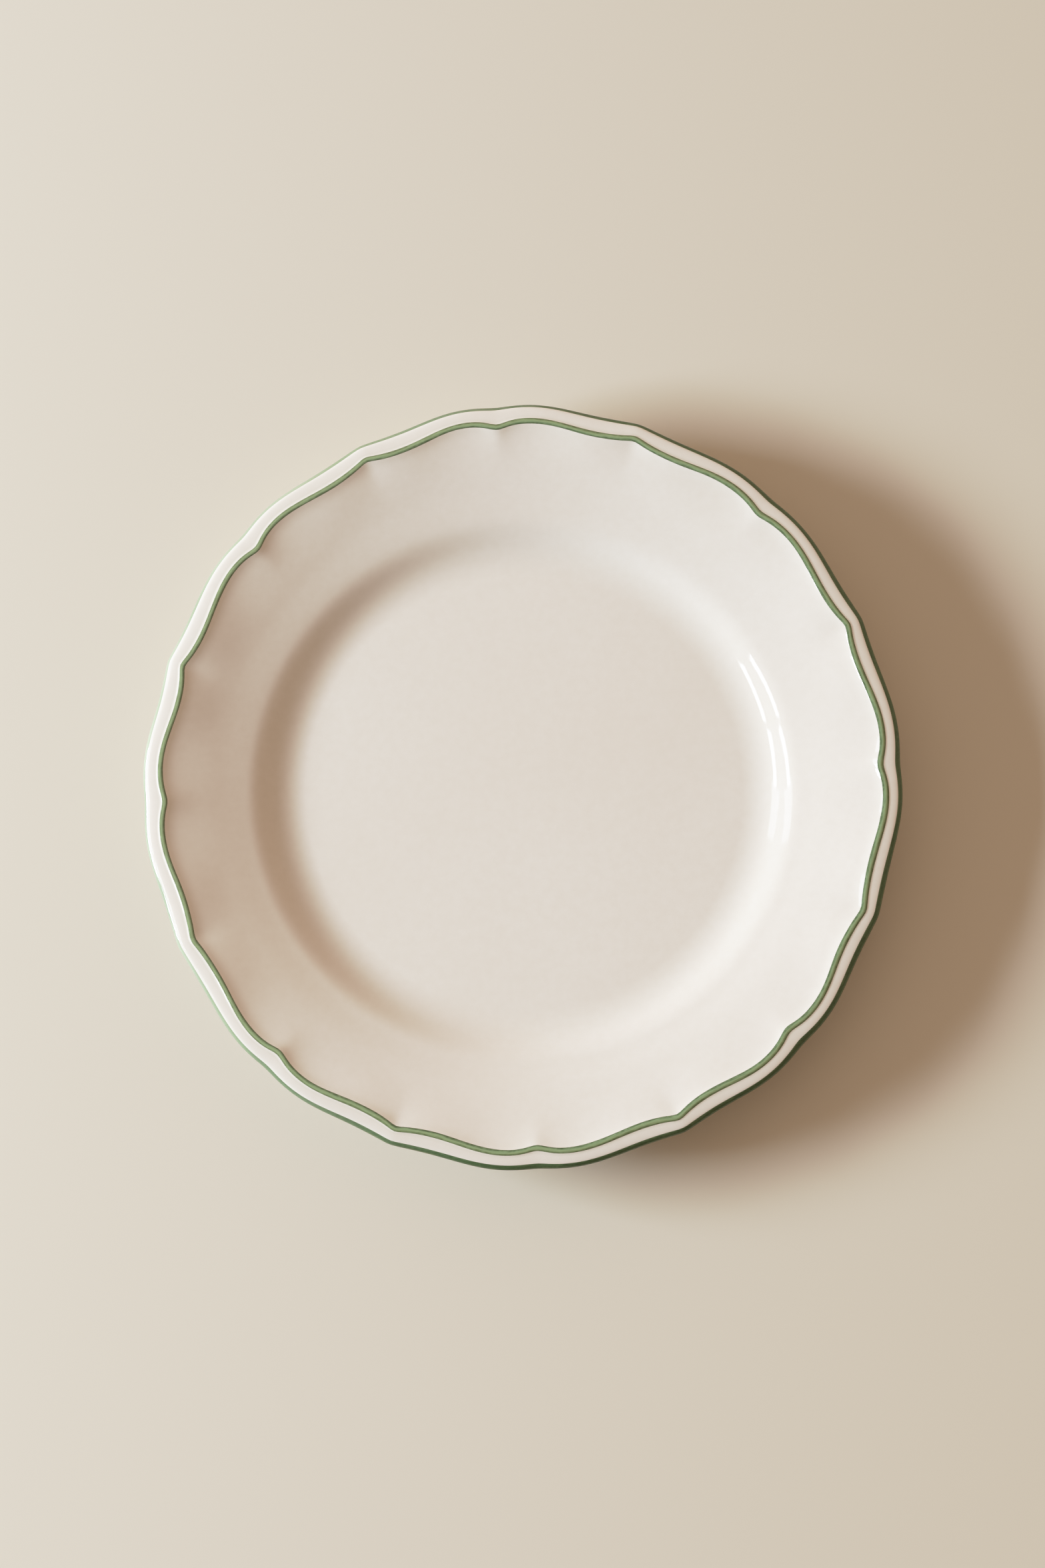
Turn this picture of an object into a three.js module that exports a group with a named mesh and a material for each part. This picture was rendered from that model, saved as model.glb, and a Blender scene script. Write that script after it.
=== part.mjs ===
// A glazed china dinner plate with a raised bead and a scalloped edge.
//
// Millimetres, +Z up. The origin is the middle of the plate on the surface it stands on, and +X
// passes through one of the notches of the scalloped edge. The fired clay body carries a thin skin
// of glaze, and two painted lines are fired into that skin: one over the bead, one round the edge.
// Each stretch of skin is its own solid, and shares its inner face with the body.

import * as THREE from 'three';

const slope = (degrees) => Math.tan(THREE.MathUtils.degToRad(degrees));

// Driving dimensions: radii and heights of the glazed surface.
const FLOOR_HEIGHT = 8.2;
const FLOOR_RADIUS = 78.5;
const SHOULDER_RADIUS = 98.9;
const SHOULDER_HEIGHT = 13.7;
const RIM_SLOPE = slope(14);
const FLUTE_RADIUS = 124;
const BEAD_RADIUS = 129.55;
const BEAD_HEIGHT = 21.65;
const BEAD_ROUND = 2.6;
const BEAD_INNER_ANGLE = 25;
const BEAD_OUTER_ANGLE = 22;
const LIP_RADIUS = 131.2;
const LIP_SLOPE = slope(-3);
const EDGE_LINE_RADIUS = 134.6;
const EDGE_LINE_SLOPE = slope(-28);
const EDGE_RADIUS = 136;
const RIM_THICKNESS = 4.5;

// Driving dimensions of the foot.
const FOOT_OUTER_RADIUS = 73.4;
const FOOT_INNER_RADIUS = 70.2;
const FOOT_GLAZE_HEIGHT = 1.3;
const FOOT_BEVEL = 0.5;
const RECESS_HEIGHT = 3.6;

const GLAZE_THICKNESS = 0.35;

// How far each rounding reaches from the corner that it softens.
const TOE_REACH = 11;
const SHOULDER_REACH = 7;
const EDGE_ROLL = 0.6;
const EDGE_BULGE = { over: 1.8, under: 1.9 };
const HEEL = { offset: 4, reach: 7 };
const FOOT_TOP = { offset: 4, rise: 0.9, reach: 9.5, reachRise: 0.3 };
const FOOT_COVE = { setback: 0.9, reach: 1, drop: 0.2 };
const RECESS_COVE = { setback: 0.7, corner: 1.4, reach: 3.5 };

// The scalloped edge: in each eighth of a turn, a soft notch between two rounded lobes, then a
// shallow dip up to a small outward point half way to the next notch. Angles are in degrees from
// the notch, and the wave's sizes are radial.
const SCALLOPS = 8;
const HALF_SCALLOP = 180 / SCALLOPS;
const LOBE_ANGLE = 5.5;
const LOBE_PERIOD = 22;
const NOTCH_SOFTNESS = 1.3;
const POINT_SOFTNESS = 0.8;
const CUSP_WIDTH = 1.2;
const LOBE_FADE_RADIUS = 110;
const BEAD_WAVE = { lobe: 1.3, notch: 1.1, point: 0.85 };
const EDGE_WAVE = { lobe: 0.87, notch: 0.05, point: 0.15 };
const HALF_SCALLOP_STEPS = [0, 1.6, 4.6, 8.2, 12, 15.8, 19.8];

const point = (radius, height) => new THREE.Vector2(radius, height);

// How far the scallop moves the bead or the edge outwards, at an angle from the nearest notch: by
// its lobes, and by its notch and point. The angles to the notch and to the point never quite
// reach nothing, which rounds both cusps.
function wave(size, fromNotch) {
  const toNotch = Math.hypot(fromNotch, NOTCH_SOFTNESS);
  const toPoint = Math.hypot(HALF_SCALLOP - fromNotch, POINT_SOFTNESS);
  const softened = toNotch - toPoint + HALF_SCALLOP - fromNotch;
  const inward = size.notch * Math.exp((NOTCH_SOFTNESS - toNotch) / CUSP_WIDTH);
  const outward = size.point * Math.exp((POINT_SOFTNESS - toPoint) / CUSP_WIDTH);
  const lobes = size.lobe * Math.cos((2 * Math.PI * (softened - LOBE_ANGLE)) / LOBE_PERIOD);
  return { lobes, cusps: outward - inward };
}

// The scallop grows out of the round rim, its lobes over a broad band and its cusps over the
// flutes inside the bead, and changes to the edge's own wave beyond the bead.
function scallopShift(radius, fromNotch) {
  const lobeFade = THREE.MathUtils.smoothstep(radius, LOBE_FADE_RADIUS, BEAD_RADIUS);
  const cuspFade = THREE.MathUtils.smoothstep(radius, FLUTE_RADIUS, BEAD_RADIUS);
  const beyond = THREE.MathUtils.smoothstep(radius, BEAD_RADIUS, EDGE_RADIUS);
  const bead = wave(BEAD_WAVE, fromNotch);
  const edge = wave(EDGE_WAVE, fromNotch);
  const lobes = THREE.MathUtils.lerp(bead.lobes, edge.lobes, beyond);
  const cusps = THREE.MathUtils.lerp(bead.cusps, edge.cusps, beyond);
  return lobeFade * lobes + cuspFade * cusps;
}

// Every direction round the plate that gets a vertex, as its angle and its angle from a notch.
function directions() {
  const found = [];
  for (let scallop = 0; scallop < SCALLOPS; scallop += 1) {
    const notchAngle = 2 * HALF_SCALLOP * scallop;
    for (const step of HALF_SCALLOP_STEPS) {
      found.push({ angle: notchAngle + step, fromNotch: step });
    }
    for (const step of HALF_SCALLOP_STEPS) {
      found.push({ angle: notchAngle + HALF_SCALLOP + step, fromNotch: HALF_SCALLOP - step });
    }
  }
  return found;
}

// The point at a radius, on the straight line through a point on a slope.
const along = (from, lineSlope, radius) => point(radius, from.y + lineSlope * (radius - from.x));

// The control point of a curve that leaves one point on one slope and meets another on its own.
function corner(start, startSlope, end, endSlope) {
  const rise = end.y - start.y - endSlope * (end.x - start.x);
  const radius = start.x + rise / (startSlope - endSlope);
  return along(start, startSlope, radius);
}

// The points of some curves in a row, each sampled in its own number of steps.
function trace(stretches) {
  const points = [stretches[0].curve.getPoint(0)];
  for (const { curve, steps } of stretches) {
    points.push(...curve.getPoints(steps).slice(1));
  }
  return points;
}

// Floor, wall and rim, up to where the bead begins.
function faceSection(beadStart) {
  const floorEdge = point(FLOOR_RADIUS, FLOOR_HEIGHT);
  const shoulder = point(SHOULDER_RADIUS, SHOULDER_HEIGHT);
  const wallFoot = point(FLOOR_RADIUS + TOE_REACH, FLOOR_HEIGHT);
  const wallHead = along(shoulder, RIM_SLOPE, SHOULDER_RADIUS - SHOULDER_REACH);
  const rimEnd = along(shoulder, RIM_SLOPE, FLUTE_RADIUS);
  const flute = corner(rimEnd, RIM_SLOPE, beadStart, slope(BEAD_INNER_ANGLE));
  return trace([
    { curve: new THREE.LineCurve(point(0, FLOOR_HEIGHT), floorEdge), steps: 1 },
    { curve: new THREE.CubicBezierCurve(floorEdge, wallFoot, wallHead, shoulder), steps: 4 },
    { curve: new THREE.LineCurve(shoulder, rimEnd), steps: 1 },
    { curve: new THREE.QuadraticBezierCurve(rimEnd, flute, beadStart), steps: 2 },
  ]);
}

// The round top of the bead, from its inner side to its outer side.
function beadSection() {
  const [start, end] = [90 + BEAD_INNER_ANGLE, 90 - BEAD_OUTER_ANGLE].map(THREE.MathUtils.degToRad);
  const bead = new THREE.EllipseCurve(
    BEAD_RADIUS, BEAD_HEIGHT - BEAD_ROUND, BEAD_ROUND, BEAD_ROUND, start, end, true,
  );
  return trace([{ curve: bead, steps: 3 }]);
}

// The strip from the bead to the painted edge: a small cove, then a face that rolls over.
function lipSection(beadEnd) {
  const coveRadius = (beadEnd.x + LIP_RADIUS) / 2;
  const cove = along(beadEnd, slope(-BEAD_OUTER_ANGLE), coveRadius);
  const lip = along(cove, LIP_SLOPE, LIP_RADIUS);
  const roll = along(lip, LIP_SLOPE, EDGE_LINE_RADIUS - EDGE_ROLL);
  const edgeStart = along(roll, EDGE_LINE_SLOPE, EDGE_LINE_RADIUS);
  return trace([
    { curve: new THREE.QuadraticBezierCurve(beadEnd, cove, lip), steps: 1 },
    { curve: new THREE.QuadraticBezierCurve(lip, roll, edgeStart), steps: 1 },
  ]);
}

// The rounded edge itself, over and under.
function edgeSection(edgeStart) {
  const rimSurface = along(point(SHOULDER_RADIUS, SHOULDER_HEIGHT), RIM_SLOPE, EDGE_LINE_RADIUS);
  const edgeEnd = point(EDGE_LINE_RADIUS, rimSurface.y - RIM_THICKNESS);
  const over = along(edgeStart, EDGE_LINE_SLOPE, EDGE_LINE_RADIUS + EDGE_BULGE.over);
  const under = along(edgeEnd, RIM_SLOPE, EDGE_LINE_RADIUS + EDGE_BULGE.under);
  return trace([{ curve: new THREE.CubicBezierCurve(edgeStart, over, under, edgeEnd), steps: 3 }]);
}

// The underside, from the edge to the glaze line on the outside of the foot.
function backSection(edgeEnd) {
  const heel = along(edgeEnd, RIM_SLOPE, SHOULDER_RADIUS + HEEL.offset);
  const heelRound = along(heel, RIM_SLOPE, heel.x - HEEL.reach);
  const footTop = point(FOOT_OUTER_RADIUS + FOOT_TOP.offset, RECESS_HEIGHT + FOOT_TOP.rise);
  const footRound = point(footTop.x + FOOT_TOP.reach, footTop.y + FOOT_TOP.reachRise);
  const glazeLine = point(FOOT_OUTER_RADIUS + FOOT_COVE.setback, FOOT_GLAZE_HEIGHT);
  const footCove = point(glazeLine.x + FOOT_COVE.reach, footTop.y - FOOT_COVE.drop);
  return trace([
    { curve: new THREE.LineCurve(edgeEnd, heel), steps: 1 },
    { curve: new THREE.CubicBezierCurve(heel, heelRound, footRound, footTop), steps: 3 },
    { curve: new THREE.QuadraticBezierCurve(footTop, footCove, glazeLine), steps: 2 },
  ]);
}

// The shallow recess inside the foot, from its glaze line to the middle.
function baseSection() {
  const glazeLine = point(FOOT_INNER_RADIUS - RECESS_COVE.setback, FOOT_GLAZE_HEIGHT);
  const cove = point(FOOT_INNER_RADIUS - RECESS_COVE.corner, RECESS_HEIGHT);
  const recessEdge = point(FOOT_INNER_RADIUS - RECESS_COVE.reach, RECESS_HEIGHT);
  return trace([
    { curve: new THREE.QuadraticBezierCurve(glazeLine, cove, recessEdge), steps: 2 },
    { curve: new THREE.LineCurve(recessEdge, point(0, RECESS_HEIGHT)), steps: 1 },
  ]);
}

// The bare foot ring between the two glaze lines: bevelled at both sides and flat underneath.
function footSection() {
  return [
    point(FOOT_OUTER_RADIUS, FOOT_BEVEL),
    point(FOOT_OUTER_RADIUS - FOOT_BEVEL, 0),
    point(FOOT_INNER_RADIUS + FOOT_BEVEL, 0),
    point(FOOT_INNER_RADIUS, FOOT_BEVEL),
  ];
}

// The surface's outward direction at each point of a run, from its neighbours on either side.
function outwardDirections(points) {
  return points.map((here, index) => {
    const before = points[Math.max(index - 1, 0)];
    const after = points[Math.min(index + 1, points.length - 1)];
    const ahead = after.clone().sub(before).normalize();
    return here.x === 0 ? point(0, Math.sign(ahead.x)) : point(-ahead.y, ahead.x);
  });
}

// The clay surface under a run of glazed surface.
function underGlaze(points) {
  const outward = outwardDirections(points);
  return points.map((here, index) => here.clone().addScaledVector(outward[index], -GLAZE_THICKNESS));
}

// Which of two outline points comes first, whichever way round a solid runs through them.
const comesFirst = (one, other) => one.x < other.x || (one.x === other.x && one.y < other.y);

// The one or two triangles between four corners, some of which may be the same vertex on the axis.
// Solids that share a face split it along the same diagonal, so that they meet exactly.
function facesBetween([a, b, c, d], forwards) {
  const triangles = forwards ? [[a, b, c], [a, c, d]] : [[a, b, d], [b, c, d]];
  return triangles.filter((triangle) => new Set(triangle).size === 3).flat();
}

// A closed solid from a closed outline of radii and heights, turned round the axis with the
// scallop in its outer part. The outline runs with the solid on its right.
function turned(outline) {
  const around = directions();
  const positions = [];
  const rings = outline.map(({ x: radius, y: height }) => {
    const first = positions.length / 3;
    if (radius === 0) {
      positions.push(0, 0, height);
      return around.map(() => first);
    }
    return around.map(({ angle, fromNotch }, index) => {
      const turn = THREE.MathUtils.degToRad(angle);
      const shifted = radius + scallopShift(radius, fromNotch);
      positions.push(shifted * Math.cos(turn), shifted * Math.sin(turn), height);
      return first + index;
    });
  });
  const faces = [];
  rings.forEach((ring, index) => {
    const nextIndex = (index + 1) % rings.length;
    const nextRing = rings[nextIndex];
    const forwards = comesFirst(outline[index], outline[nextIndex]);
    around.forEach((_, here) => {
      const next = (here + 1) % around.length;
      const corners = [ring[here], nextRing[here], nextRing[next], ring[next]];
      faces.push(...facesBetween(corners, forwards));
    });
  });
  const geometry = new THREE.BufferGeometry();
  geometry.setAttribute('position', new THREE.Float32BufferAttribute(positions, 3));
  geometry.setIndex(faces);
  geometry.computeVertexNormals();
  return geometry;
}

const glazeMaterial = new THREE.MeshStandardMaterial({ color: 0xe6dfd6, roughness: 0.08 });
const greenMaterial = new THREE.MeshStandardMaterial({ color: 0x4d7552, roughness: 0.12 });
const edgeGreenMaterial = new THREE.MeshStandardMaterial({ color: 0x355a3e, roughness: 0.12 });
const clayMaterial = new THREE.MeshStandardMaterial({ color: 0xe2d8c9, roughness: 0.7 });

// The glazed surface in one run from the middle of the floor to the glaze line on the foot, so
// that neighbouring skins meet on the same points.
const bead = beadSection();
const lip = lipSection(bead.at(-1));
const edge = edgeSection(lip.at(-1));
const glazeRun = [
  { name: 'glaze_face', material: glazeMaterial, points: faceSection(bead[0]) },
  { name: 'bead_line', material: greenMaterial, points: bead },
  { name: 'glaze_lip', material: glazeMaterial, points: lip },
  { name: 'edge_line', material: edgeGreenMaterial, points: edge },
  { name: 'glaze_back', material: glazeMaterial, points: backSection(edge.at(-1)) },
];

const group = new THREE.Group();

function addPiece(name, outline, material) {
  const mesh = new THREE.Mesh(turned(outline), material);
  mesh.name = name;
  group.add(mesh);
}

const runPoints = [glazeRun[0].points[0], ...glazeRun.flatMap(({ points }) => points.slice(1))];
const runClay = underGlaze(runPoints);
let first = 0;
for (const { name, material, points } of glazeRun) {
  const last = first + points.length;
  const outer = runPoints.slice(first, last);
  const inner = runClay.slice(first, last);
  addPiece(name, [...outer, ...inner.reverse()], material);
  first = last - 1;
}

const basePoints = baseSection();
const baseClay = underGlaze(basePoints);
addPiece('glaze_base', [...basePoints, ...baseClay.toReversed()], glazeMaterial);

addPiece('china_body', [...runClay, ...footSection(), ...baseClay], clayMaterial);

export default group;
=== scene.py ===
"""A glazed china dinner plate: a raised bead, a scalloped edge and two hand-painted green lines.

Every skin of glaze and paint is a closed thin solid over the clay body, as in the CAD frame, made
finer here from the same section and the same scallop, with the small unevenness of hand work.
Lengths are in metres, angles in degrees unless a name says otherwise.
"""

import math

import bpy
import numpy as np
from mathutils import Matrix, Vector


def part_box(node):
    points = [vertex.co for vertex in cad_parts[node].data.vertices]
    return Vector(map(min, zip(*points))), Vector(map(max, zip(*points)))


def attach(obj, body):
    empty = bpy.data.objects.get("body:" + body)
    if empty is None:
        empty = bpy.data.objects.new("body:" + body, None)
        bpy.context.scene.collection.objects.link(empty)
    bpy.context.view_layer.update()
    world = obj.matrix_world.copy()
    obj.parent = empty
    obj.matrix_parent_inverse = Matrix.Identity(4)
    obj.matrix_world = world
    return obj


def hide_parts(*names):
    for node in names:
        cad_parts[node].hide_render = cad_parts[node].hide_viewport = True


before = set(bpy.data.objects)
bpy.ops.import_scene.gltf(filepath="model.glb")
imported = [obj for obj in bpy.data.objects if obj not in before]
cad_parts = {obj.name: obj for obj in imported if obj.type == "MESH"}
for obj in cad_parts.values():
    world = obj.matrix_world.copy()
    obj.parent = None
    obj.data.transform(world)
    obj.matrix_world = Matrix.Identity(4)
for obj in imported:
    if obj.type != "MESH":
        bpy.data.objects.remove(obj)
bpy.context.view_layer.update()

MM = 0.001

# ---------------------------------------------------------------------------------------------
# Sizes: what the frame gives is read from it, and the rest repeats the CAD section's dimensions.
# ---------------------------------------------------------------------------------------------

FLOOR_HEIGHT = 8.2 * MM
BEAD_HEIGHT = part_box("bead_line")[1][2]
FLOOR_RADIUS = 78.5 * MM
SHOULDER_RADIUS = 98.9 * MM
SHOULDER_HEIGHT = 13.7 * MM
RIM_SLOPE = math.tan(math.radians(14))
FLUTE_RADIUS = 124 * MM
BEAD_RADIUS = 129.55 * MM
BEAD_ROUND = 2.6 * MM
BEAD_INNER_ANGLE = math.radians(25)
BEAD_OUTER_ANGLE = math.radians(22)
LIP_RADIUS = 131.2 * MM
LIP_SLOPE = math.tan(math.radians(-3))
EDGE_LINE_RADIUS = 134.6 * MM
EDGE_LINE_SLOPE = math.tan(math.radians(-28))
EDGE_RADIUS = 136 * MM
RIM_THICKNESS = 4.5 * MM
FOOT_OUTER_RADIUS = 73.4 * MM
FOOT_INNER_RADIUS = 70.2 * MM
FOOT_GLAZE_HEIGHT = 1.3 * MM
FOOT_BEVEL = 0.5 * MM
RECESS_HEIGHT = 3.6 * MM
GLAZE_THICKNESS = 0.35 * MM

# How far each rounding reaches from the corner that it softens.
TOE_REACH = 11 * MM
SHOULDER_REACH = 7 * MM
EDGE_ROLL = 0.6 * MM
EDGE_OVER, EDGE_UNDER = 1.8 * MM, 1.9 * MM
HEEL_OFFSET, HEEL_REACH = 4 * MM, 7 * MM
FOOT_TOP_OFFSET, FOOT_TOP_RISE = 4 * MM, 0.9 * MM
FOOT_TOP_REACH, FOOT_TOP_REACH_RISE = 9.5 * MM, 0.3 * MM
FOOT_COVE_SETBACK, FOOT_COVE_REACH, FOOT_COVE_DROP = 0.9 * MM, 1 * MM, 0.2 * MM
RECESS_SETBACK, RECESS_CORNER, RECESS_REACH = 0.7 * MM, 1.4 * MM, 3.5 * MM

# How near to its sharp corner the worn bevel of the foot ring bends.
FOOT_CORNER = 0.1 * MM

# The scallop: degrees from a notch, and the sizes of its lobes, its notches and its points. It is
# the CAD's, except that its cusps start from a radius of 117 mm, nearer the middle than there.
SCALLOPS = 8
HALF_SCALLOP = 180 / SCALLOPS
LOBE_ANGLE = 5.5
LOBE_PERIOD = 22
NOTCH_SOFTNESS = 1.3
POINT_SOFTNESS = 0.8
CUSP_WIDTH = 1.2
LOBE_FADE_RADIUS = 110 * MM
CUSP_FADE_RADIUS = 117 * MM
BEAD_WAVE = (1.3 * MM, 1.1 * MM, 0.85 * MM)
EDGE_WAVE = (0.87 * MM, 0.05 * MM, 0.15 * MM)

# The well is pressed a little off the plate's axis. The shift grows from this radius, over the
# flat floor, and dies away over the start of the rim.
WELL_INNER_RADIUS = 40 * MM

# Glaze pools in hollows: how far to either side is compared, and how hollow a full pool is.
POOL_REACH = 1.2 * MM
POOL_DEPTH = 0.2 * MM

# The painted lines are washed pale on the side of the plate towards the light: a painted highlight.
# The middle of that stretch, and the distances from it in degrees over which the full green comes
# back.
LIT_WASH_AZIMUTH = 162
LIT_WASH_START, LIT_WASH_END = 25, 100

# A ring of a smaller radius has shrunk to a point on the axis.
ON_AXIS = 1e-9

STEPS_AROUND = 576
ANGLES = np.linspace(0, 360, STEPS_AROUND, endpoint=False)


# ---------------------------------------------------------------------------------------------
# Curves of the section. A point is (radius, height).
# ---------------------------------------------------------------------------------------------


def bezier(points, steps):
    """Points along a Bezier curve of any degree."""
    t = np.linspace(0, 1, steps + 1)[:, None]
    degree = len(points) - 1
    terms = [
        math.comb(degree, k) * (1 - t) ** (degree - k) * t**k * np.array(p, float)
        for k, p in enumerate(points)
    ]
    return sum(terms)


def arc(centre, radius, start, end, steps):
    """Points along an arc, from one angle in radians to another."""
    turn = np.linspace(start, end, steps + 1)
    return np.stack([centre[0] + radius * np.cos(turn), centre[1] + radius * np.sin(turn)], 1)


def along(start, slope, radius):
    """The point at a radius, on the straight line through a point on a slope."""
    return radius, start[1] + slope * (radius - start[0])


def corner(start, start_slope, end, end_slope):
    """The control point of a curve that leaves start on one slope and meets end on another."""
    rise = end[1] - start[1] - end_slope * (end[0] - start[0])
    return along(start, start_slope, start[0] + rise / (start_slope - end_slope))


def joined(*stretches):
    """Stretches in a row as one run of points, without the points where they meet twice."""
    return np.concatenate([stretches[0], *(s[1:] for s in stretches[1:])])


def bead_section():
    """The rounded crest of the bead."""
    up = math.pi / 2
    centre = (BEAD_RADIUS, BEAD_HEIGHT - BEAD_ROUND)
    return arc(centre, BEAD_ROUND, up + BEAD_INNER_ANGLE, up - BEAD_OUTER_ANGLE, steps=40)


def face_section(bead_start):
    """The floor, the wall, the rim and the flute at the foot of the bead."""
    floor_edge = (FLOOR_RADIUS, FLOOR_HEIGHT)
    shoulder = (SHOULDER_RADIUS, SHOULDER_HEIGHT)
    wall_foot = (FLOOR_RADIUS + TOE_REACH, FLOOR_HEIGHT)
    wall_head = along(shoulder, RIM_SLOPE, SHOULDER_RADIUS - SHOULDER_REACH)
    rim_end = along(shoulder, RIM_SLOPE, FLUTE_RADIUS)
    flute = corner(rim_end, RIM_SLOPE, bead_start, math.tan(BEAD_INNER_ANGLE))
    return joined(
        bezier([(0, FLOOR_HEIGHT), floor_edge], steps=40),
        bezier([floor_edge, wall_foot, wall_head, shoulder], steps=80),
        bezier([shoulder, rim_end], steps=30),
        bezier([rim_end, flute, bead_start], steps=60),
    )


def lip_section(bead_end):
    """The narrow strip between the bead and the edge, with a cove and a rolled end."""
    cove = along(bead_end, math.tan(-BEAD_OUTER_ANGLE), (bead_end[0] + LIP_RADIUS) / 2)
    lip = along(cove, LIP_SLOPE, LIP_RADIUS)
    roll = along(lip, LIP_SLOPE, EDGE_LINE_RADIUS - EDGE_ROLL)
    edge_start = along(roll, EDGE_LINE_SLOPE, EDGE_LINE_RADIUS)
    return joined(
        bezier([bead_end, cove, lip], steps=25),
        bezier([lip, roll, edge_start], steps=35),
    )


def edge_section(edge_start):
    """The rounded edge, over and under, down to the rim's underside."""
    rim_surface = along((SHOULDER_RADIUS, SHOULDER_HEIGHT), RIM_SLOPE, EDGE_LINE_RADIUS)
    edge_end = (EDGE_LINE_RADIUS, rim_surface[1] - RIM_THICKNESS)
    over = along(edge_start, EDGE_LINE_SLOPE, EDGE_LINE_RADIUS + EDGE_OVER)
    under = along(edge_end, RIM_SLOPE, EDGE_LINE_RADIUS + EDGE_UNDER)
    return bezier([edge_start, over, under, edge_end], steps=80)


def back_section(edge_end):
    """The underside, from the edge to the glaze's end on the outside of the foot ring."""
    heel = along(edge_end, RIM_SLOPE, SHOULDER_RADIUS + HEEL_OFFSET)
    heel_round = along(heel, RIM_SLOPE, heel[0] - HEEL_REACH)
    foot_top = (FOOT_OUTER_RADIUS + FOOT_TOP_OFFSET, RECESS_HEIGHT + FOOT_TOP_RISE)
    foot_round = (foot_top[0] + FOOT_TOP_REACH, foot_top[1] + FOOT_TOP_REACH_RISE)
    glaze_line = (FOOT_OUTER_RADIUS + FOOT_COVE_SETBACK, FOOT_GLAZE_HEIGHT)
    foot_cove = (glaze_line[0] + FOOT_COVE_REACH, foot_top[1] - FOOT_COVE_DROP)
    return joined(
        bezier([edge_end, heel], steps=40),
        bezier([heel, heel_round, foot_round, foot_top], steps=60),
        bezier([foot_top, foot_cove, glaze_line], steps=30),
    )


def base_section():
    """The recess, from the glaze's end on the inside of the foot ring to the axis."""
    glaze_line = (FOOT_INNER_RADIUS - RECESS_SETBACK, FOOT_GLAZE_HEIGHT)
    cove = (FOOT_INNER_RADIUS - RECESS_CORNER, RECESS_HEIGHT)
    recess_edge = (FOOT_INNER_RADIUS - RECESS_REACH, RECESS_HEIGHT)
    return joined(
        bezier([glaze_line, cove, recess_edge], steps=30),
        bezier([recess_edge, (0, RECESS_HEIGHT)], steps=30),
    )


def step_lengths(points):
    return np.linalg.norm(np.diff(points, axis=0), axis=1)


class Section:
    """A run of section points that can be asked for at any distance along it."""

    def __init__(self, points):
        self.points = points
        self.distance = np.concatenate([[0], np.cumsum(step_lengths(points))])
        forward = np.gradient(points, self.distance, axis=0)
        outward = np.stack([-forward[:, 1], forward[:, 0]], 1)
        self.outward = outward / np.linalg.norm(outward, axis=1)[:, None]

    def between(self, values, distance):
        """The radial and upright parts of values kept for each point, at a distance."""
        return np.stack([np.interp(distance, self.distance, part) for part in values.T])

    def at(self, distance, depth=0):
        """Radius and height at a distance along the run, at a depth under the glazed surface."""
        surface = self.between(self.points, distance)
        return surface - depth * self.between(self.outward, distance)


# ---------------------------------------------------------------------------------------------
# The scallop and the unevenness of hand work, both round the plate.
# ---------------------------------------------------------------------------------------------


def smoothstep(value, low, high):
    """A smooth rise from 0 at low to 1 at high."""
    t = np.clip((value - low) / (high - low), 0, 1)
    return t * t * (3 - 2 * t)


def wave(size, from_notch):
    """How far the scallop moves the bead or the edge outwards: by its lobes, and by its cusps."""
    lobe, notch, point = size
    to_notch = np.hypot(from_notch, NOTCH_SOFTNESS)
    to_point = np.hypot(HALF_SCALLOP - from_notch, POINT_SOFTNESS)
    softened = to_notch - to_point + HALF_SCALLOP - from_notch
    lobes = lobe * np.cos(2 * np.pi * (softened - LOBE_ANGLE) / LOBE_PERIOD)
    inward = notch * np.exp((NOTCH_SOFTNESS - to_notch) / CUSP_WIDTH)
    outward = point * np.exp((POINT_SOFTNESS - to_point) / CUSP_WIDTH)
    return np.array([lobes, outward - inward])


def drift(size, parts):
    """A slow wander round the plate: a few sines, each of (turns, share, phase in degrees)."""
    turn = np.radians(ANGLES)
    return size * sum(
        share * np.sin(turns * turn + math.radians(phase)) for turns, share, phase in parts
    )


# The notches stand a degree or so out of their even places, and some are pressed deeper.
HAND_TURNED = drift(0.85, [(1, 1.04, 187), (2, 0.56, 161), (5, 0.3, 250), (13, 0.15, 70)])
HAND_PRESSED = 1 + drift(0.09, [(2, 0.7, 200), (5, 0.6, 15), (11, 0.5, 120)])
FROM_NOTCH = np.abs((ANGLES + HAND_TURNED + HALF_SCALLOP) % (2 * HALF_SCALLOP) - HALF_SCALLOP)
BEAD_SHIFT = wave(BEAD_WAVE, FROM_NOTCH) * HAND_PRESSED
EDGE_SHIFT = wave(EDGE_WAVE, FROM_NOTCH) * HAND_PRESSED

# The fire warped the rim up and down and drew it slightly oval, and the well sits off the axis.
KILN_WARP = drift(0.16 * MM, [(2, 1.0, 310), (3, 0.5, 90), (5, 0.2, 30)])
KILN_OVAL = drift(1.0 * MM, [(2, 1.0, 288), (3, 0.25, 241)])
WELL_OFFSET = drift(1.2 * MM, [(1, 1.0, 172.5)])


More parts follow.
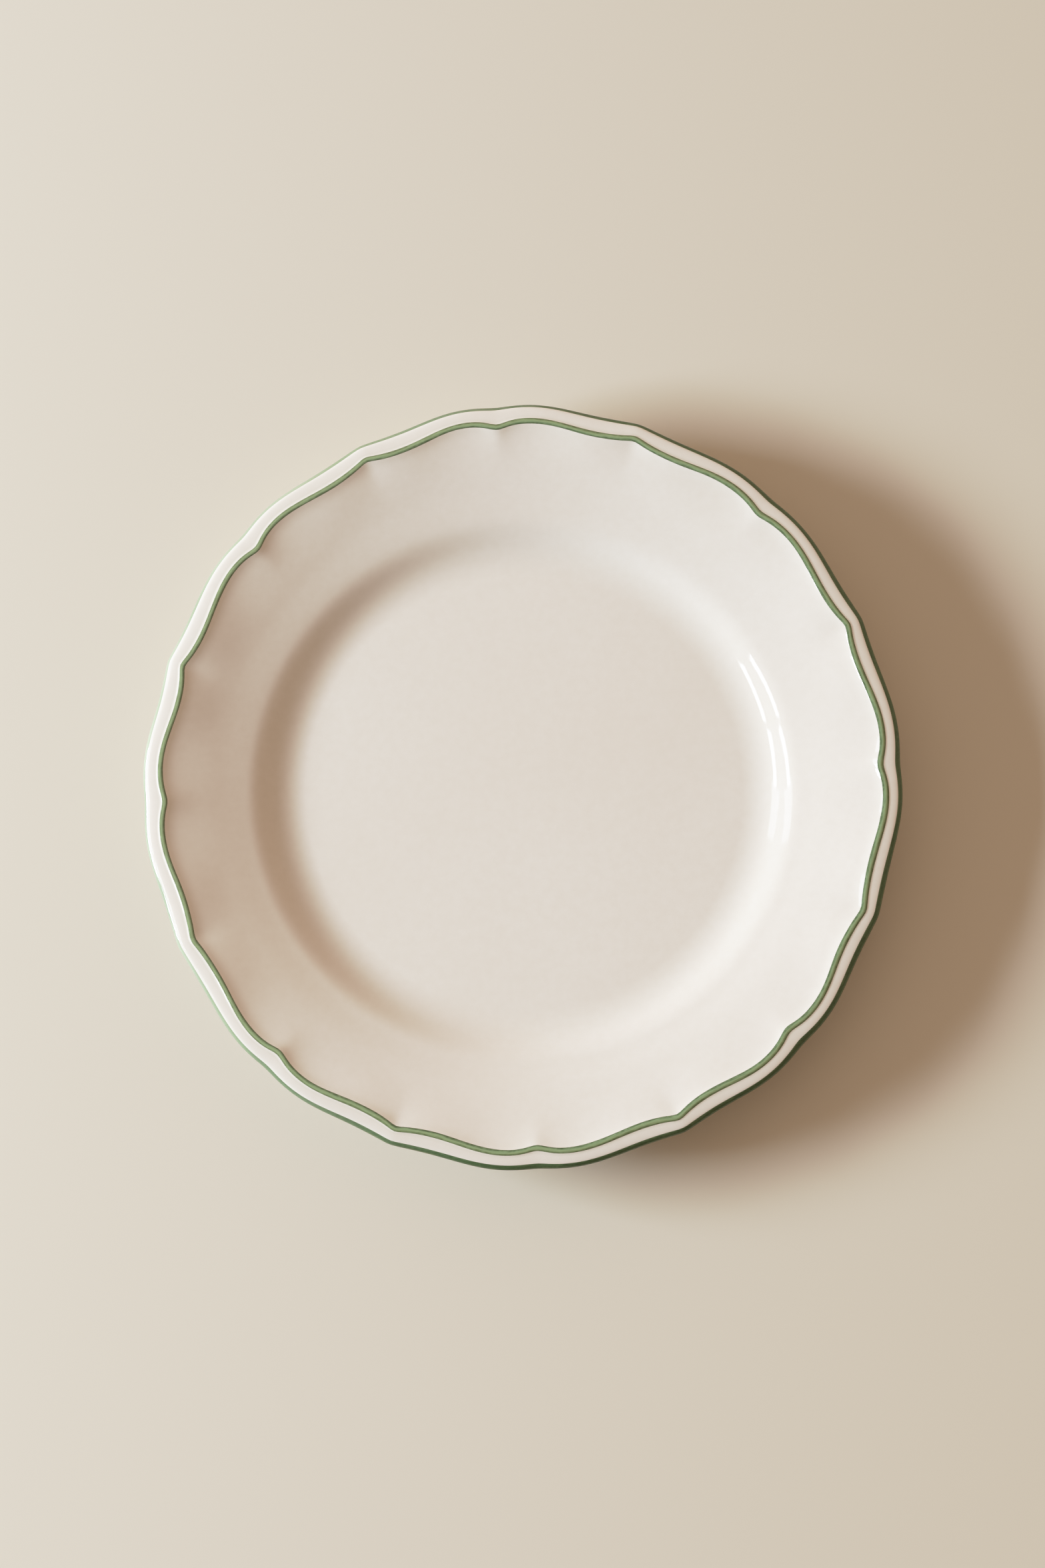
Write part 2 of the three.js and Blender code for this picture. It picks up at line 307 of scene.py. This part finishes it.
def placed(radius, height):
    """Points of rings round the plate, from each ring's radius and height, which may differ at
    each angle."""
    lobe_fade = smoothstep(radius, LOBE_FADE_RADIUS, BEAD_RADIUS)
    cusp_fade = smoothstep(radius, CUSP_FADE_RADIUS, BEAD_RADIUS)
    beyond = smoothstep(radius, BEAD_RADIUS, EDGE_RADIUS)
    lobes, cusps = [bead + (edge - bead) * beyond for bead, edge in zip(BEAD_SHIFT, EDGE_SHIFT)]
    oval = KILN_OVAL * smoothstep(radius, SHOULDER_RADIUS, BEAD_RADIUS)
    well = WELL_OFFSET * smoothstep(radius, WELL_INNER_RADIUS, FLOOR_RADIUS)
    well = well * (1 - smoothstep(radius, SHOULDER_RADIUS, LOBE_FADE_RADIUS))
    radius_here = radius + oval + well + lobe_fade * lobes + cusp_fade * cusps
    height_here = height + KILN_WARP * smoothstep(radius, FLOOR_RADIUS, EDGE_RADIUS)
    turn = np.radians(ANGLES)
    return np.stack([radius_here * np.cos(turn), radius_here * np.sin(turn), height_here], -1)


# ---------------------------------------------------------------------------------------------
# Rings. Each stretch of glaze or paint runs between two limits along the section, and a painted
# limit wanders a little from side to side, as a brush does.
# ---------------------------------------------------------------------------------------------

BRUSH_WANDER = {
    "bead_inner": drift(0.09 * MM, [(7, 0.5, 10), (19, 0.5, 75), (43, 0.35, 200)]),
    "bead_outer": drift(0.1 * MM, [(1, 2.5, 114), (6, 0.4, 130), (17, 0.4, 300)]),
    # The one-turn wander of the edge line's inner limit narrows the green on the side towards the
    # light: partly the line's uneven width, partly painted highlight.
    "edge_inner": drift(0.1 * MM, [(1, 4.5, 300), (5, 0.9, 60), (15, 0.7, 240)]),
    "edge_outer": drift(0.3 * MM, [(4, 0.6, 0), (11, 0.5, 90), (29, 0.3, 180)]),
    "none": np.zeros(STEPS_AROUND),
}


def spread(start, end, steps):
    """Evenly spread numbers, both ends included."""
    return np.linspace(start, end, steps + 1)


def rings_at(section, limits, shares, depth):
    """Rings between two limits, each limit a distance along the section and a wander round it."""
    (start, start_wander), (end, end_wander) = limits
    low = start + BRUSH_WANDER[start_wander]
    high = end + BRUSH_WANDER[end_wander]
    distance = low + shares[:, None] * (high - low)
    radius, height = section.at(distance, depth)
    return placed(radius, height)


def normals_of(rings, up_ring=None, down_ring=None):
    """Outward directions of rings in a row along the section.

    A ring that has shrunk to a point on the axis is named as facing straight up or down.
    """
    forward = np.gradient(rings, axis=0)
    around = np.roll(rings, -1, axis=1) - np.roll(rings, 1, axis=1)
    out = np.cross(forward, around)
    length = np.linalg.norm(out, axis=2, keepdims=True)
    out = out / np.where(length == 0, 1, length)
    if up_ring is not None:
        out[up_ring] = (0, 0, 1)
    if down_ring is not None:
        out[down_ring] = (0, 0, -1)
    return out


def flat_directions(first, second):
    """One outward direction for each face of the band between two rings."""
    forward = second - first
    around = np.roll(first + second, -1, axis=0) - (first + second)
    out = np.cross(forward, around)
    return out / np.linalg.norm(out, axis=1)[:, None]


def is_on_axis(ring):
    return np.hypot(ring[0, 0], ring[0, 1]) < ON_AXIS


def turned_mesh(name, rings, normals, flat_bands=()):
    """A closed solid from a closed loop of rings, shaded by each ring's own directions.

    A ring on the axis shrinks to one vertex. The bands numbered in flat_bands, each from that
    ring to the next, are the sides between two surfaces, and are shaded flat.
    """
    points, numbers = [], []
    for ring in rings:
        on_axis = is_on_axis(ring)
        steps = np.zeros(STEPS_AROUND, int) if on_axis else np.arange(STEPS_AROUND)
        numbers.append(len(points) + steps)
        points.extend(ring[:1] if on_axis else ring)
    faces, directions = [], []
    for band, low in enumerate(numbers):
        after = (band + 1) % len(numbers)
        high = numbers[after]
        low_is_point, high_is_point = low[0] == low[1], high[0] == high[1]
        if low_is_point and high_is_point:
            continue
        corners = [low, high, np.roll(high, -1), np.roll(low, -1)]
        shading = [normals[band], normals[after]]
        shading += [np.roll(normals[after], -1, axis=0), np.roll(normals[band], -1, axis=0)]
        if band in flat_bands:
            shading = [flat_directions(rings[band], rings[after])] * 4
        keep = [0, 1, 2, 3]
        if low_is_point:
            keep = [0, 1, 2]
        if high_is_point:
            keep = [0, 1, 3]
        faces.extend(np.stack([corners[k] for k in keep], 1).tolist())
        directions.extend(np.stack([shading[k] for k in keep], 1).reshape(-1, 3).tolist())
    mesh = bpy.data.meshes.new(name)
    mesh.from_pydata([p.tolist() for p in points], [], faces)
    mesh.polygons.foreach_set("use_smooth", np.ones(len(faces), bool))
    mesh.normals_split_custom_set(directions)
    mesh.update()
    piece = bpy.data.objects.new(name, mesh)
    bpy.context.scene.collection.objects.link(piece)
    return piece


def write_values(piece, name, rings, values):
    """A number at each vertex, from a number for each ring or each point of each ring."""
    numbers = []
    for ring, value in zip(rings, values):
        around = np.broadcast_to(value, STEPS_AROUND)
        numbers.extend(around[:1] if is_on_axis(ring) else around)
    attribute = piece.data.attributes.new(name, "FLOAT", "POINT")
    attribute.data.foreach_set("value", np.array(numbers, np.float32))


# ---------------------------------------------------------------------------------------------
# The plate's section: one run of five stretches, from the middle of the floor over the edge to
# the outside of the foot ring, and a second run for the base, inside the foot ring.
# ---------------------------------------------------------------------------------------------

bead_stretch = bead_section()
lip_stretch = lip_section(bead_stretch[-1])
edge_stretch = edge_section(lip_stretch[-1])
STRETCHES = [
    face_section(bead_stretch[0]),
    bead_stretch,
    lip_stretch,
    edge_stretch,
    back_section(edge_stretch[-1]),
]
FACE, BEAD, LIP, EDGE, BACK = range(len(STRETCHES))
RUN = Section(joined(*STRETCHES))
RUN_LIMITS = [0.0]
for stretch in STRETCHES:
    RUN_LIMITS.append(RUN_LIMITS[-1] + float(step_lengths(stretch).sum()))
LIMIT_WANDER = ["none", "bead_inner", "bead_outer", "edge_inner", "edge_outer", "none"]

# Where the rings of each stretch lie, as shares of its length. The floor is flat and needs few.
FLOOR_SHARE = FLOOR_RADIUS / RUN_LIMITS[1]
SHARES = [
    np.concatenate([spread(0, FLOOR_SHARE, 4)[:-1], spread(FLOOR_SHARE, 1, 44)]),
    spread(0, 1, 12),
    spread(0, 1, 12),
    spread(0, 1, 14),
    spread(0, 1, 30),
]

BASE = Section(base_section())
BASE_LIMITS = [(0.0, "none"), (BASE.distance[-1], "none")]
COVE_SHARE = 0.12
BASE_SHARES = np.concatenate([spread(0, COVE_SHARE, 12)[:-1], spread(COVE_SHARE, 1, 6)])


def pooling(section, distance):
    """How hollow the section is, from -1 on a sharp ridge to 1 in a tight groove.

    Liquid glaze gathers in grooves and draws thin over ridges.
    """
    before = section.at(distance - POOL_REACH)
    after = section.at(distance + POOL_REACH)
    rise = (before + after) / 2 - section.at(distance)
    outward = section.between(section.outward, distance)
    return np.clip((rise * outward).sum(0) / POOL_DEPTH, -1, 1)


def stretch_rings(number, depth):
    """The rings of one stretch of the run, at a depth under the glazed surface."""
    limits = [(RUN_LIMITS[number + k], LIMIT_WANDER[number + k]) for k in (0, 1)]
    return rings_at(RUN, limits, SHARES[number], depth)


outer = [stretch_rings(k, 0) for k in range(len(STRETCHES))]
inner = [stretch_rings(k, GLAZE_THICKNESS) for k in range(len(STRETCHES))]
outer_normals = normals_of(joined(*outer), up_ring=0)

base_outer = rings_at(BASE, BASE_LIMITS, BASE_SHARES, 0)
base_inner = rings_at(BASE, BASE_LIMITS, BASE_SHARES, GLAZE_THICKNESS)
base_normals = normals_of(base_outer, down_ring=-1)

# How much of each painted line is washed pale at each angle, from 0 to 1: a painted highlight.
FROM_LIT_WASH_MIDDLE = np.abs((ANGLES - LIT_WASH_AZIMUTH + 180) % 360 - 180)
LIT_WASH_SIDE = 1 - smoothstep(FROM_LIT_WASH_MIDDLE, LIT_WASH_START, LIT_WASH_END)
PAINTED_LIT_WASH = {
    "bead_line": 0.12 * LIT_WASH_SIDE,
    "edge_line": 0.72 * LIT_WASH_SIDE * (1 + drift(0.2, [(9, 0.6, 20), (23, 0.6, 100)])),
}


# ---------------------------------------------------------------------------------------------
# The pieces: closed skins of glaze and paint, and the clay body that they lie on.
# ---------------------------------------------------------------------------------------------


def closed_skin(name, top, under, normals, pool):
    """A thin solid from its glazed surface and the face that lies on the clay, with its rings."""
    rings = [*top, *under[::-1]]
    flat = (len(top) - 1, len(rings) - 1)
    piece = turned_mesh(name, rings, [*normals, *(-normals[::-1])], flat)
    write_values(piece, "pool", rings, [*pool, *pool[::-1]])
    return piece, rings


def skin(name, node, number):
    """One stretch of glaze or paint along the run."""
    first = sum(len(rings) - 1 for rings in outer[:number])
    normals = outer_normals[first:first + len(outer[number])]
    shares = SHARES[number]
    low, high = RUN_LIMITS[number], RUN_LIMITS[number + 1]
    pool = pooling(RUN, low + shares * (high - low))
    piece, rings = closed_skin(name, outer[number], inner[number], normals, pool)
    if node in PAINTED_LIT_WASH:
        write_values(piece, "across", rings, [*shares, *shares[::-1]])
        write_values(piece, "lit_wash", rings, [PAINTED_LIT_WASH[node]] * len(rings))
    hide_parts(node)
    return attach(piece, "root")


def base_skin():
    """The glaze in the recess inside the foot ring."""
    pool = pooling(BASE, BASE_SHARES * BASE.distance[-1])
    piece, _ = closed_skin("base_glaze", base_outer, base_inner, base_normals, pool)
    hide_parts("glaze_base")
    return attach(piece, "root")


def foot_section():
    """The bare foot ring: a worn, rounded bevel at each side of its flat resting face."""
    outer_top = (FOOT_OUTER_RADIUS, FOOT_BEVEL)
    outer_flat = (FOOT_OUTER_RADIUS - FOOT_BEVEL, 0)
    inner_flat = (FOOT_INNER_RADIUS + FOOT_BEVEL, 0)
    inner_top = (FOOT_INNER_RADIUS, FOOT_BEVEL)
    outer_corner = (FOOT_OUTER_RADIUS - FOOT_CORNER, FOOT_CORNER)
    inner_corner = (FOOT_INNER_RADIUS + FOOT_CORNER, FOOT_CORNER)
    return joined(
        bezier([outer_top, outer_corner, outer_flat], steps=5),
        bezier([outer_flat, inner_flat], steps=4),
        bezier([inner_flat, inner_corner, inner_top], steps=5),
    )


def clay_body():
    """The whole fired clay body, which shows only at the bare foot ring."""
    radius, height = foot_section().T[:, :, None]
    rings = np.concatenate([joined(*inner), placed(radius, height), base_inner])
    normals = normals_of(rings, up_ring=0, down_ring=-1)
    piece = turned_mesh("clay_body", list(rings), list(normals))
    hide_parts("china_body")
    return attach(piece, "root")


# ---------------------------------------------------------------------------------------------
# Materials
# ---------------------------------------------------------------------------------------------


def srgb(red, green, blue):
    """A linear colour with full alpha from sRGB values of 0 to 255."""
    values = [c / 255 for c in (red, green, blue)]
    linear = [c / 12.92 if c <= 0.04045 else ((c + 0.055) / 1.055) ** 2.4 for c in values]
    return (*linear, 1.0)


IVORY = srgb(239, 232, 222)
IVORY_SHADE = srgb(236, 228, 217)
IVORY_MOTTLE = srgb(229, 220, 207)
POOLED_GLAZE = srgb(208, 205, 186)
THIN_GLAZE = srgb(240, 232, 222)
# The pale green of a painted line on its side towards the light: a painted highlight.
LIT_WASH_PAINT = srgb(176, 186, 158)
CLAY = srgb(228, 218, 203)
CLAY_GRAIN = srgb(214, 203, 187)
RUBBED_CLAY = srgb(176, 164, 147)
PALE_FLOOR = srgb(222, 213, 197)

# Colours across each line, from its inner side at 0 to its outer side at 1.
# The dark sides of the bead line are partly paint pooled at the bead's foot and partly painted shade,
# darkest on the inner side.
BEAD_STOPS = [
    (0.0, srgb(52, 70, 44)),
    (0.2, srgb(72, 94, 60)),
    (0.4, srgb(136, 160, 118)),
    (0.62, srgb(146, 164, 118)),
    (0.82, srgb(96, 110, 70)),
    (1.0, srgb(78, 84, 48)),
]
THIN_BEAD_PAINT = srgb(152, 172, 132)
# The paler olive band near 0.56, on the outermost roll of the edge, is partly thinner paint and
# partly a painted reflection in the glossy edge.
EDGE_STOPS = [
    (0.0, srgb(92, 114, 80)),
    (0.12, srgb(68, 90, 58)),
    (0.42, srgb(72, 94, 60)),
    (0.56, srgb(112, 114, 76)),
    (0.7, srgb(80, 96, 62)),
    (1.0, srgb(72, 90, 58)),
]
THIN_EDGE_PAINT = srgb(104, 126, 88)

GLAZE_IOR = 1.52
GLAZE_ROUGHNESS = (0.04, 0.075)
CLAY_ROUGHNESS = (0.62, 0.8)
FLOOR_ROUGHNESS = 0.9

# Nearly all of a noise texture's values lie in this range.
NOISE_RANGE = (0.3, 0.7)

# The width of a painted line in the space of its streaks, where one turn of the plate is a circle
# of radius 1: small, so that the streaks run along the line.
STREAK_WIDTH = 0.16


class Nodes:
    """Short calls that add nodes to one material and link them."""

    def __init__(self, name):
        self.material = bpy.data.materials.new(name)
        self.material.use_nodes = True
        self.tree = self.material.node_tree
        self.tree.nodes.clear()
        self.shader = self.tree.nodes.new("ShaderNodeBsdfPrincipled")
        output = self.tree.nodes.new("ShaderNodeOutputMaterial")
        self.link(self.shader.outputs["BSDF"], output.inputs["Surface"])

    def link(self, source, target):
        self.tree.links.new(source, target)

    def put(self, socket, value):
        """Sets a socket to a plain value, or links it to another node's output."""
        if isinstance(value, bpy.types.NodeSocket):
            self.link(value, socket)
        else:
            socket.default_value = value

    def set(self, **values):
        """Values or outputs for the shader's sockets, named with _ for each space."""
        for name, value in values.items():
            self.put(self.shader.inputs[name.replace("_", " ")], value)

    def position(self):
        return self.tree.nodes.new("ShaderNodeTexCoord").outputs["Object"]

    def attribute(self, name):
        node = self.tree.nodes.new("ShaderNodeAttribute")
        node.attribute_name = name
        return node.outputs["Fac"]

    def maths(self, operation, *values):
        node = self.tree.nodes.new("ShaderNodeMath")
        node.operation = operation
        for socket, value in zip(node.inputs, values):
            self.put(socket, value)
        return node.outputs["Value"]

    def noise(self, vector, scale, detail, roughness=0.5):
        node = self.tree.nodes.new("ShaderNodeTexNoise")
        self.put(node.inputs["Vector"], vector)
        self.put(node.inputs["Scale"], scale)
        self.put(node.inputs["Detail"], detail)
        self.put(node.inputs["Roughness"], roughness)
        return node.outputs["Fac"]

    def remap(self, value, from_range, to_range):
        """A value carried from one range into another, and held at its ends."""
        node = self.tree.nodes.new("ShaderNodeMapRange")
        self.put(node.inputs["Value"], value)
        for side, from_end, to_end in zip(("Min", "Max"), from_range, to_range):
            node.inputs["From " + side].default_value = from_end
            node.inputs["To " + side].default_value = to_end
        return node.outputs["Result"]

    def mix(self, share, first, second):
        """The first colour where share is 0, and the second where it is 1."""
        node = self.tree.nodes.new("ShaderNodeMix")
        node.data_type = "RGBA"
        self.put(node.inputs["Factor"], share)
        self.put(node.inputs[6], first)
        self.put(node.inputs[7], second)
        return node.outputs[2]

    def ramp(self, value, stops):
        """A colour for each value, from (place, colour) stops."""
        node = self.tree.nodes.new("ShaderNodeValToRGB")
        elements = node.color_ramp.elements
        while len(elements) < len(stops):
            elements.new(0.5)
        for element, (place, colour) in zip(elements, stops):
            element.position = place
            element.color = colour
        self.put(node.inputs["Fac"], value)
        return node.outputs["Color"]

    def bump(self, height, distance, below=None):
        """A surface direction from a height, with its depth in metres, on top of another bump."""
        node = self.tree.nodes.new("ShaderNodeBump")
        node.inputs["Strength"].default_value = 1.0
        node.inputs["Distance"].default_value = distance
        self.put(node.inputs["Height"], height)
        if below is not None:
            self.put(node.inputs["Normal"], below)
        return node.outputs["Normal"]

    def round_the_plate(self):
        """A place on a band of radius 1 round the plate, so that noise in it runs along a line."""
        split = self.tree.nodes.new("ShaderNodeSeparateXYZ")
        self.put(split.inputs[0], self.position())
        x, y = split.outputs["X"], split.outputs["Y"]
        x_squared, y_squared = (self.maths("MULTIPLY", v, v) for v in (x, y))
        radius = self.maths("SQRT", self.maths("ADD", x_squared, y_squared))
        band = self.tree.nodes.new("ShaderNodeCombineXYZ")
        self.put(band.inputs["X"], self.maths("DIVIDE", x, radius))
        self.put(band.inputs["Y"], self.maths("DIVIDE", y, radius))
        self.put(band.inputs["Z"], self.maths("MULTIPLY", self.attribute("across"), STREAK_WIDTH))
        return band.outputs["Vector"]


def glaze_surface(nodes):
    """The glaze's own shine: nearly smooth, with a soft unevenness left by the glaze as it flowed."""
    position = nodes.position()
    slow = nodes.bump(nodes.noise(position, scale=38, detail=1.0), 0.03 * MM)
    fine = nodes.bump(nodes.noise(position, scale=420, detail=1.5), 0.0035 * MM, below=slow)
    patches = nodes.noise(position, scale=60, detail=3.0)
    roughness = nodes.remap(patches, NOISE_RANGE, GLAZE_ROUGHNESS)
    nodes.set(Roughness=roughness, IOR=GLAZE_IOR, Normal=fine)


def ivory_glaze():
    """Ivory glaze: a little deeper where it pooled in a groove, clearer where it drew thin."""
    nodes = Nodes("ivory_glaze")
    position = nodes.position()
    shade = nodes.remap(nodes.noise(position, scale=11, detail=3.0), (0.35, 0.65), (0, 1))
    even = nodes.mix(shade, IVORY_SHADE, IVORY)
    mottle = nodes.noise(position, scale=330, detail=3.0, roughness=0.6)
    mottled = nodes.mix(nodes.remap(mottle, NOISE_RANGE, (0, 0.35)), even, IVORY_MOTTLE)
    pool = nodes.attribute("pool")
    pooled = nodes.mix(nodes.remap(pool, (0.05, 1.0), (0, 0.4)), mottled, POOLED_GLAZE)
    drawn = nodes.mix(nodes.remap(pool, (-0.05, -1.0), (0, 0.35)), pooled, THIN_GLAZE)
    nodes.set(Base_Color=drawn)
    glaze_surface(nodes)
    return nodes.material


def painted_green(name, stops, thin_colour):
    """A brushed line of green under glaze, coloured across the line by its stops: dark at its sides,
    where paint gathered and where painted shade falls, paler over the crest, with streaks that run
    along the line, and washed pale on the side towards the light, a painted highlight."""
    nodes = Nodes(name)
    band = nodes.round_the_plate()
    waver = nodes.noise(band, scale=26, detail=2.0)
    wander = nodes.remap(waver, NOISE_RANGE, (-0.13, 0.13))
    across = nodes.maths("ADD", nodes.attribute("across"), wander)
    colour = nodes.ramp(across, stops)
    streaks = nodes.noise(band, scale=90, detail=3.0, roughness=0.65)
    streaked = nodes.mix(nodes.remap(streaks, (0.3, 0.72), (0, 0.5)), colour, thin_colour)
    specks = nodes.noise(nodes.position(), scale=700, detail=2.0)
    speckled = nodes.mix(nodes.remap(specks, (0.45, 0.75), (0, 0.35)), streaked, thin_colour)
    nodes.set(Base_Color=nodes.mix(nodes.attribute("lit_wash"), speckled, LIT_WASH_PAINT))
    glaze_surface(nodes)
    return nodes.material


def fired_clay():
    """Bare fired clay, matt and slightly grainy, rubbed a little grey where it rests."""
    nodes = Nodes("fired_clay")
    position = nodes.position()
    grain = nodes.noise(position, scale=1400, detail=3.0, roughness=0.6)
    base = nodes.mix(nodes.remap(grain, NOISE_RANGE, (0, 1)), CLAY_GRAIN, CLAY)
    rubbing = nodes.noise(position, scale=90, detail=4.0, roughness=0.6)
    colour = nodes.mix(nodes.remap(rubbing, (0.45, 0.72), (0, 0.55)), base, RUBBED_CLAY)
    nodes.set(Base_Color=colour, Roughness=nodes.remap(grain, NOISE_RANGE, CLAY_ROUGHNESS))
    nodes.set(Normal=nodes.bump(grain, 0.06 * MM))
    return nodes.material


# ---------------------------------------------------------------------------------------------
# The plate
# ---------------------------------------------------------------------------------------------

glaze = ivory_glaze()
bead_green = painted_green("bead_green", BEAD_STOPS, THIN_BEAD_PAINT)
edge_green = painted_green("edge_green", EDGE_STOPS, THIN_EDGE_PAINT)
for piece, material in (
    (skin("face_glaze", "glaze_face", FACE), glaze),
    (skin("bead_paint", "bead_line", BEAD), bead_green),
    (skin("lip_glaze", "glaze_lip", LIP), glaze),
    (skin("edge_paint", "edge_line", EDGE), edge_green),
    (skin("back_glaze", "glaze_back", BACK), glaze),
    (base_skin(), glaze),
    (clay_body(), fired_clay()),
):
    piece.data.materials.append(material)


# ---------------------------------------------------------------------------------------------
# Floor, light and camera. Their azimuths are measured in the picture, from its right-hand side,
# and PICTURE_TURN carries them into the frame, whose +X passes through a notch.
# ---------------------------------------------------------------------------------------------

PICTURE_TURN = -3.0
FAR_SIDE = 90 + PICTURE_TURN

FLOOR_SIZE = 20
LIGHT_DISTANCE = 2.2
DAYLIGHT = (0.78, 0.90, 1.0)
PANE_LIGHT = (0.9, 0.95, 1.0)
ROOM_COLOUR = (1.0, 0.74, 0.545, 1)
ROOM_BRIGHTNESS = 0.447
ROOM_LEAN = 0.7

CAMERA_AZIMUTH = -80 + PICTURE_TURN
CAMERA_TILT = 7
CAMERA_DISTANCE = 1.75
CAMERA_REACH = 20

# In millimetres, as a camera's sensor is.
SENSOR_SIZE = 36

# The plate's width as a share of the picture's height.
PLATE_SHARE = 0.486
FRAME_HEIGHT = 2 * EDGE_RADIUS / PLATE_SHARE

# Display brightness for each scene brightness.
TONE_POINTS = [(0, 0), (0.3, 0.3), (0.6, 0.6), (0.96, 0.82), (1.3, 0.94), (2.2, 1.0)]
ALL_CHANNELS = 3


def direction(azimuth, elevation):
    """A unit vector towards an azimuth in the frame and a height above the floor, in degrees."""
    turn, rise = math.radians(azimuth), math.radians(elevation)
    return Vector((math.cos(turn) * math.cos(rise), math.sin(turn) * math.cos(rise), math.sin(rise)))


def pale_floor():
    """The plain floor that the plate stands on."""
    bpy.ops.mesh.primitive_plane_add(size=FLOOR_SIZE, location=(0, 0, 0))
    floor = bpy.context.object
    floor.name = "floor"
    nodes = Nodes("pale_floor")
    nodes.set(Base_Color=PALE_FLOOR, Roughness=FLOOR_ROUGHNESS)
    floor.data.materials.append(nodes.material)


def area_light(name, azimuth, elevation, width, height, radiance, colour, only_mirrored=False):
    """A rectangle of light that faces the plate, with its size in degrees and its brightness.

    One that is only mirrored shows in the glaze but doesn't light it.
    """
    data = bpy.data.lights.new(name, "AREA")
    data.shape = "RECTANGLE"
    data.size = 2 * LIGHT_DISTANCE * math.tan(math.radians(width / 2))
    data.size_y = 2 * LIGHT_DISTANCE * math.tan(math.radians(height / 2))
    data.energy = radiance * math.pi * data.size * data.size_y
    data.color = colour
    light = bpy.data.objects.new(name, data)
    away = direction(azimuth + PICTURE_TURN, elevation)
    light.location = away * LIGHT_DISTANCE
    light.rotation_mode = "QUATERNION"
    light.rotation_quaternion = away.to_track_quat("Z", "Y")
    light.visible_diffuse = not only_mirrored
    bpy.context.scene.collection.objects.link(light)


def room_light():
    """Warm light from all round, brighter from the far side of the plate than from the near side."""
    world = bpy.data.worlds.new("room")
    world.use_nodes = True
    tree = world.node_tree
    background = tree.nodes["Background"]
    background.inputs["Color"].default_value = ROOM_COLOUR
    direction_seen = tree.nodes.new("ShaderNodeTexCoord").outputs["Generated"]
    towards = tree.nodes.new("ShaderNodeVectorMath")
    towards.operation = "DOT_PRODUCT"
    towards.inputs[1].default_value = direction(FAR_SIDE, 0)
    strength = tree.nodes.new("ShaderNodeMath")
    strength.operation = "MULTIPLY_ADD"
    strength.inputs[1].default_value = ROOM_BRIGHTNESS * ROOM_LEAN
    strength.inputs[2].default_value = ROOM_BRIGHTNESS
    tree.links.new(direction_seen, towards.inputs[0])
    tree.links.new(towards.outputs["Value"], strength.inputs[0])
    tree.links.new(strength.outputs[0], background.inputs["Strength"])
    bpy.context.scene.world = world


def tone():
    """A gentle roll-off in the brightest tones, on top of plain display tones."""
    view = bpy.context.scene.view_settings
    view.view_transform = "Standard"
    view.use_curve_mapping = True
    curve = view.curve_mapping
    curve.clip_max_x = TONE_POINTS[-1][0]
    points = curve.curves[ALL_CHANNELS].points
    points[1].location = TONE_POINTS[-1]
    for place in TONE_POINTS[1:-1]:
        points.new(*place)
    curve.update()


def camera():
    """A long lens high over the plate, tilted a little from straight down towards the viewer."""
    data = bpy.data.cameras.new("camera")
    data.sensor_fit = "VERTICAL"
    data.sensor_height = SENSOR_SIZE
    data.sensor_width = SENSOR_SIZE
    data.lens = SENSOR_SIZE * CAMERA_DISTANCE / FRAME_HEIGHT
    data.clip_end = CAMERA_REACH
    view = bpy.data.objects.new("camera", data)
    away = direction(CAMERA_AZIMUTH, 90 - CAMERA_TILT)
    target = Vector((0, 0, BEAD_HEIGHT))
    up = direction(FAR_SIDE, 0)
    right = up.cross(away).normalized()
    upright = away.cross(right).normalized()
    view.location = target + away * CAMERA_DISTANCE
    view.rotation_mode = "QUATERNION"
    view.rotation_quaternion = Matrix((right, upright, away)).transposed().to_quaternion()
    bpy.context.scene.collection.objects.link(view)
    bpy.context.scene.camera = view


pale_floor()
area_light("window", 178, 18.2, width=26, height=10.5, radiance=82, colour=DAYLIGHT)
for name, azimuth, elevation, width, height, radiance in (
    ("near_pane", 192.4, 51.6, 9.2, 3, 24),
    ("far_pane", 176.6, 49.7, 8.2, 3, 24),
    ("far_glow", 164.5, 49.8, 7.5, 8, 5),
):
    area_light(name, azimuth, elevation, width, height, radiance, PANE_LIGHT, only_mirrored=True)
room_light()
camera()
tone()
